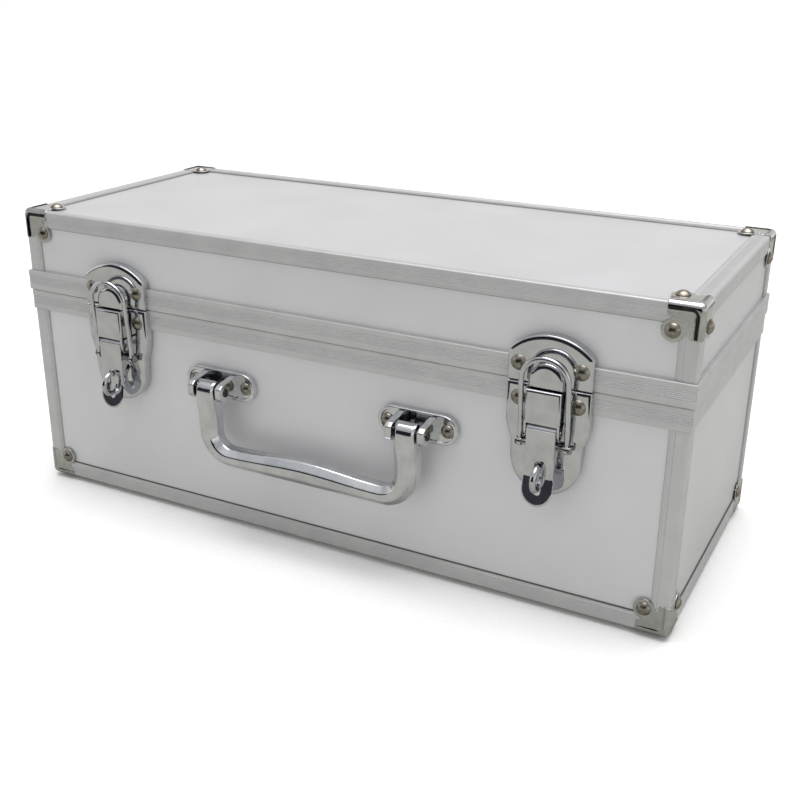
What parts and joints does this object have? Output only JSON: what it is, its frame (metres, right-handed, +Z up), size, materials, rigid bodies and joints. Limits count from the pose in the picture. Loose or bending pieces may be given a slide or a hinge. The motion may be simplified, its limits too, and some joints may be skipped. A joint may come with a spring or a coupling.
{
  "type": "art supply box",
  "caption": "Hard carrying case of silver boards in aluminium trims: hinged lid, toggle latches with padlock rings, drop handle on the front.",
  "frame": {"origin": "on the resting plane, under the middle of the case's whole box, from the padlock rings to the hinge knuckles", "axes": "+Z up, the front with the latches and handle faces -Y, +X along the long side to the right of someone facing the front"},
  "size_m": [0.406, 0.195, 0.176],
  "materials": {
    "silver_laminate": "fine-textured satin silver laminate on thin board",
    "satin_aluminium": "satin anodised extrusion with fine ribs",
    "plated_steel": "polished chrome plate on pressed steel",
    "cast_chrome": "chrome plate on a zinc casting, faintly pitted",
    "nickel_steel": "nickel plated pressed steel",
    "nickel_rivet": "dull nickel plate, domed",
    "bright_steel": "drawn steel pin",
    "eva_foam": "dark closed-cell foam sheet"
  },
  "bodies": {
    "base": {"base_bottom_panel": "silver_laminate", "base_front_panel": "silver_laminate", "base_back_panel": "silver_laminate", "base_left_panel": "silver_laminate", "base_right_panel": "silver_laminate", "base_upright_trims": "satin_aluminium", "base_bottom_trims": "satin_aluminium", "base_rim": "satin_aluminium", "base_lining": "eva_foam", "base_corners": "nickel_steel", "base_corner_rivets": "nickel_rivet", "hinge_left_base_leaf": "nickel_steel", "hinge_right_base_leaf": "nickel_steel", "hinge_left_pin": "bright_steel", "hinge_right_pin": "bright_steel", "hinge_base_rivets": "nickel_rivet", "latch_left_plate": "plated_steel", "latch_right_plate": "plated_steel", "latch_left_bridge": "plated_steel", "latch_right_bridge": "plated_steel", "latch_left_pivot_pin": "bright_steel", "latch_right_pivot_pin": "bright_steel", "latch_left_padlock_ring": "plated_steel", "latch_right_padlock_ring": "plated_steel", "latch_base_rivets": "nickel_rivet", "handle_left_bracket": "cast_chrome", "handle_right_bracket": "cast_chrome", "handle_left_pin": "bright_steel", "handle_right_pin": "bright_steel", "handle_bracket_rivets": "nickel_rivet"},
    "lid": {"lid_top_panel": "silver_laminate", "lid_front_panel": "silver_laminate", "lid_back_panel": "silver_laminate", "lid_left_panel": "silver_laminate", "lid_right_panel": "silver_laminate", "lid_upright_trims": "satin_aluminium", "lid_top_trims": "satin_aluminium", "lid_rim": "satin_aluminium", "lid_lining": "eva_foam", "lid_corners": "nickel_steel", "lid_corner_rivets": "nickel_rivet", "hinge_left_lid_leaf": "nickel_steel", "hinge_right_lid_leaf": "nickel_steel", "hinge_lid_rivets": "nickel_rivet", "keeper_left_plate": "plated_steel", "keeper_right_plate": "plated_steel", "keeper_left_catch": "plated_steel", "keeper_right_catch": "plated_steel", "keeper_rivets": "nickel_rivet"},
    "lever_left": {"latch_left_lever": "plated_steel"},
    "bail_left": {"latch_left_bail": "plated_steel", "latch_left_bail_pin": "bright_steel"},
    "lever_right": {"latch_right_lever": "plated_steel"},
    "bail_right": {"latch_right_bail": "plated_steel", "latch_right_bail_pin": "bright_steel"},
    "handle": {"handle": "cast_chrome"}
  },
  "joints": [
    {"name": "lid_hinge", "type": "hinge", "parent": "base", "child": "lid", "pos_m": [0, 0.09455, 0.1245], "axis": [-1, 0, 0], "range_deg": [0, 95]},
    {"name": "handle_swing", "type": "hinge", "parent": "base", "child": "handle", "pos_m": [0, -0.08955, 0.0892], "axis": [-1, 0, 0], "range_deg": [-8, 100]},
    {"name": "left_lever_pivot", "type": "hinge", "parent": "base", "child": "lever_left", "pos_m": [-0.1324, -0.08555, 0.1034], "axis": [-1, 0, 0], "range_deg": [0, 90]},
    {"name": "left_bail_pivot", "type": "hinge", "parent": "lever_left", "child": "bail_left", "pos_m": [-0.1324, -0.08395, 0.0952], "axis": [-1, 0, 0], "range_deg": [-120, 0]},
    {"name": "right_lever_pivot", "type": "hinge", "parent": "base", "child": "lever_right", "pos_m": [0.1324, -0.08555, 0.1034], "axis": [-1, 0, 0], "range_deg": [0, 90]},
    {"name": "right_bail_pivot", "type": "hinge", "parent": "lever_right", "child": "bail_right", "pos_m": [0.1324, -0.08395, 0.0952], "axis": [-1, 0, 0], "range_deg": [-120, 0]}
  ],
  "couplings": [
    {"joint": "left_bail_pivot", "follows": "left_lever_pivot", "ratio": -1.33},
    {"joint": "right_bail_pivot", "follows": "right_lever_pivot", "ratio": -1.33}
  ]
}
